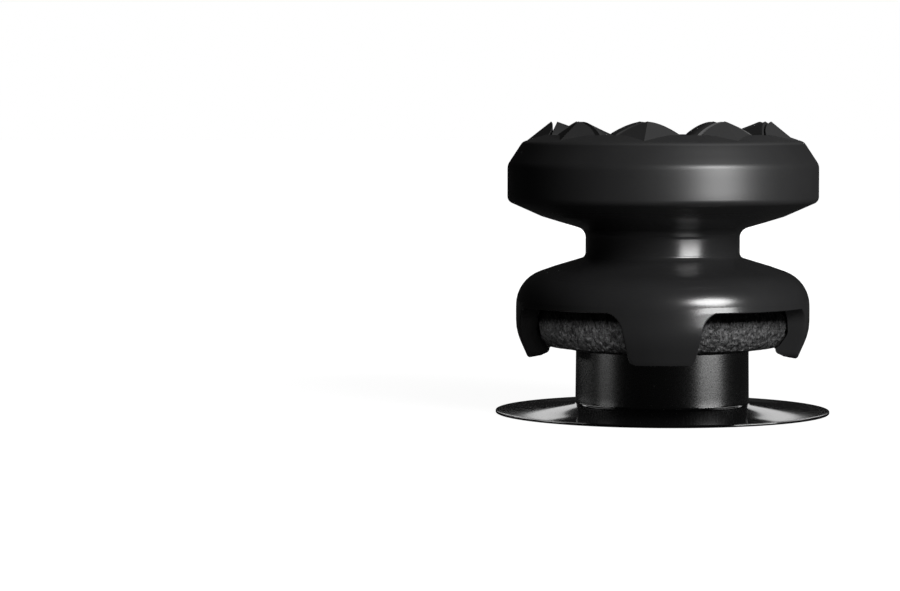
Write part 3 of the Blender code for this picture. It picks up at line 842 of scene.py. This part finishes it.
def satin_plastic():
    """Near-black moulding with a fine spark-eroded grain: small lumps 0.06 mm wide, hardly deep.

    Its mould was left coarser towards the thumb: satin at neck and cup, coarse on the band, and
    matt in the dish and on the studs."""
    material, tree, shader, place = finish("satin_plastic", (0.017, 0.017, 0.0174), SATIN, 0.65)
    grain = noise(tree, place, 11.0, detail=3.0)
    cloud = noise(tree, place, 0.5, detail=2.0)
    two_tone(tree, shader, cloud, (0.015, 0.015, 0.0154), (0.019, 0.019, 0.0194))
    fine = ranged(tree, grain, 0.3, 0.7, SATIN - SATIN_SPREAD, SATIN + SATIN_SPREAD)
    level = height_of(tree, place)
    on_band = ranged(tree, level, COARSE_START, COARSE_FULL, 0.0, COARSE - SATIN)
    on_studs = ranged(tree, level, MATT_START, MATT_FULL, 0.0, MATT - COARSE)
    coarser = math_node(tree, "ADD", on_band, on_studs)
    link(tree, math_node(tree, "ADD", fine, coarser), shader.inputs["Roughness"])
    bump(tree, shader, grain, 0.0012, 0.4)
    return material


# %% [markdown]
# The cap's rubber looks like felt. A coarse and a fine noise are mixed, and the mix drives both the
# colour and the bump: what stands out is pale, and the pits are painted near-black as their shade.

# %% Cap rubber
def cap_rubber():
    """Matt rubber like felt: short upright fibres in swirls, pits painted dark as shade, a few pale worn
    specks.
    """
    material, tree, shader, place = finish("cap_rubber_skin", (0.05, 0.05, 0.051), 0.60, 0.5)
    stretch = add_node(tree, "ShaderNodeMapping", Scale=(1.0, 1.0, GRAIN_STRETCH))
    link(tree, place, stretch.inputs["Vector"])
    upright = stretch.outputs["Vector"]
    lumps = noise(tree, upright, 2.6, detail=3.0, rough=0.6, distortion=1.5)
    fibres = noise(tree, upright, 6.5, detail=3.0, rough=0.6, distortion=2.5)
    mixed = math_node(tree, "MULTIPLY_ADD", fibres, 0.9, math_node(tree, "MULTIPLY", lumps, 0.6))
    specks = ranged(tree, noise(tree, place, 5.0, detail=0.0), 0.68, 0.76, 0.0, 0.35)
    # Painted shade: the colour follows the bump, near-black in the pits and pale on the lumps; the
    # specks are worn.
    shade_and_specks = math_node(tree, "ADD", ranged(tree, mixed, 0.63, 0.90, 0.0, 0.80), specks)
    two_tone(tree, shader, shade_and_specks, (0.003, 0.003, 0.0032), (0.26, 0.26, 0.263))
    bump(tree, shader, mixed, 0.16, 1.0)
    return material


# %% [markdown]
# The skirt is polished and mirrors what stands behind the object. The post is only satin, with the
# faint orange peel of its mould. The finish changes over at the foot of the post, by height, and on
# the skirt it dulls a little towards the rim.

# %% Stick plastic
SKIRT_ROUGH, RIM_ROUGH, POST_ROUGH, POST_SPREAD = 0.05, 0.08, 0.27, 0.05
POST_START, POST_FULL = 0.72 * MM, 0.90 * MM


def stick_plastic():
    """Black moulding: a polished skirt, and a satin post with faint orange peel and rare specks."""
    material, tree, shader, place = finish("stick_gloss", (0.007, 0.007, 0.0072), POST_ROUGH, 0.6)
    grain = noise(tree, place, 6.0, detail=4.0, rough=0.6)
    on_post = ranged(tree, height_of(tree, place), POST_START, POST_FULL, 0.0, 1.0)
    satin = ranged(tree, grain, 0.3, 0.7, POST_ROUGH - POST_SPREAD, POST_ROUGH + POST_SPREAD)
    away = tree.nodes.new("ShaderNodeVectorMath")
    away.operation = "LENGTH"
    link(tree, place, away.inputs[0])
    outwards = away.outputs["Value"]
    skirt = ranged(tree, outwards, POST_RADIUS * MM, SKIRT_RADIUS * MM, SKIRT_ROUGH, RIM_ROUGH)
    rough = math_node(tree, "MULTIPLY_ADD", on_post, math_node(tree, "SUBTRACT", satin, skirt), skirt)
    link(tree, rough, shader.inputs["Roughness"])
    specks = ranged(tree, noise(tree, place, 4.5, detail=1.0), 0.74, 0.80, 0.0, 1.0)
    two_tone(tree, shader, specks, (0.007, 0.007, 0.0072), (0.05, 0.05, 0.05))
    bump(tree, shader, math_node(tree, "MULTIPLY", grain, on_post), 0.003, 0.8)
    return material


# %% Finishes onto the pieces
for obj, material in (
    (studded_grip, satin_plastic()),
    (grained_cap, cap_rubber()),
    (turned_stick, stick_plastic()),
):
    obj.data.materials.clear()
    obj.data.materials.append(material)
    print(obj.name, "has", material.name)

# %% [markdown]
# ## Light
#
# On a round, upright wall the highlight stands where the wall faces halfway between lens and lamp.
# On the head it stands 20 degrees right of the middle, so the main box hangs at about 40 degrees. Its
# bright oval top draws the spot on the cup's shoulder, and its dimmer foot lights the upright walls.
# The glossy stick and the cap have soft boxes of their own, shaded from the grip as by a studio flag:
# without that, each of them would draw bars on the grip as well.

# %% Lamp tools
AIM = Vector((0.0, 0.0, 0.012))
NEAR, MIDDLE, FAR = 0.25, 0.40, 0.50


def shine_only(obj, pieces):
    """Keeps a lamp's light, and its reflection, to these pieces."""
    lit = bpy.data.collections.new(obj.name + "_lights")
    for lit_piece in pieces:
        lit.objects.link(lit_piece)
    obj.light_linking.receiver_collection = lit


def lamp(
    name, azimuth, elevation, distance, width, height, glow, only=(), mirrored=True, shape="RECTANGLE"
):
    """A soft box that faces the object, with this glow: 1 looks white. Its power is pi x glow x area.

    Azimuth runs from the front towards the right, in degrees. With only, it lights just those pieces.
    A lamp that is not mirrored gives light, but no surface shows its reflection."""
    light = bpy.data.lights.new(name, "AREA")
    light.shape = shape
    light.size = width
    light.size_y = height
    area = width * height * (math.pi / 4 if shape == "ELLIPSE" else 1.0)
    light.energy = math.pi * glow * area
    obj = bpy.data.objects.new(name, light)
    a, e = math.radians(azimuth), math.radians(elevation)
    away = Vector((math.sin(a) * math.cos(e), -math.cos(a) * math.cos(e), math.sin(e)))
    obj.location = AIM + away * distance
    obj.rotation_euler = (-away).to_track_quat("-Z", "Y").to_euler()
    obj.visible_camera = False
    obj.visible_glossy = mirrored
    bpy.context.scene.collection.objects.link(obj)
    if only:
        shine_only(obj, only)
    print(name, "lamp at", azimuth, "degrees,", elevation, "up, power", round(light.energy, 3), "W")


# %% Lamps of the grip
grip = (studded_grip, floor)
lamp("key_top", 41, 28, NEAR, width=0.140, height=0.085, glow=23, only=grip, shape="ELLIPSE")
lamp("key_foot", 41, 1, NEAR, width=0.130, height=0.066, glow=17, only=grip)

# %% [markdown]
# The stick's long, low boxes draw an upright bar at each side of the post. Two low cards behind the
# object make the two bright wedges on the skirt, one to each side of the post. Two larger boxes,
# higher up and further round to the sides, draw the thin line at the post's foot. The lamps that only
# open up the back and the top are left out of all reflections, so they put no pale rims round the
# black plastic.

# %% Lamps of the stick and the cap, and the fill
stick, cap = (turned_stick,), (grained_cap,)
lamp("stick_right", 66, 0, NEAR, width=0.150, height=0.022, glow=21, only=stick)
lamp("stick_left", -79, 0, NEAR, width=0.100, height=0.022, glow=6, only=stick)
lamp("stick_side", -120, 0, NEAR, width=0.160, height=0.022, glow=1.5, only=stick)
lamp("stick_top", 20, 75, NEAR, width=0.12, height=0.12, glow=4, only=stick, mirrored=False)
lamp("cap_right", 25, 33, NEAR, width=0.12, height=0.08, glow=27, only=cap)
lamp("cap_left", -20, 30, NEAR, width=0.12, height=0.08, glow=8, only=cap)
lamp("card_left", -169.6, 9.1, FAR, width=0.12, height=0.031, glow=1.1, only=stick)
lamp("card_right", 169.6, 9.1, FAR, width=0.12, height=0.031, glow=1.1, only=stick)
lamp("line_left", -126, 42, MIDDLE, width=0.36, height=0.26, glow=4, only=stick)
lamp("line_right", 126, 42, MIDDLE, width=0.36, height=0.26, glow=4, only=stick)
lamp("back", 180, 10, MIDDLE, width=0.30, height=0.12, glow=14, mirrored=False)
lamp("top", 30, 85, MIDDLE, width=0.20, height=0.20, glow=0.3, mirrored=False)
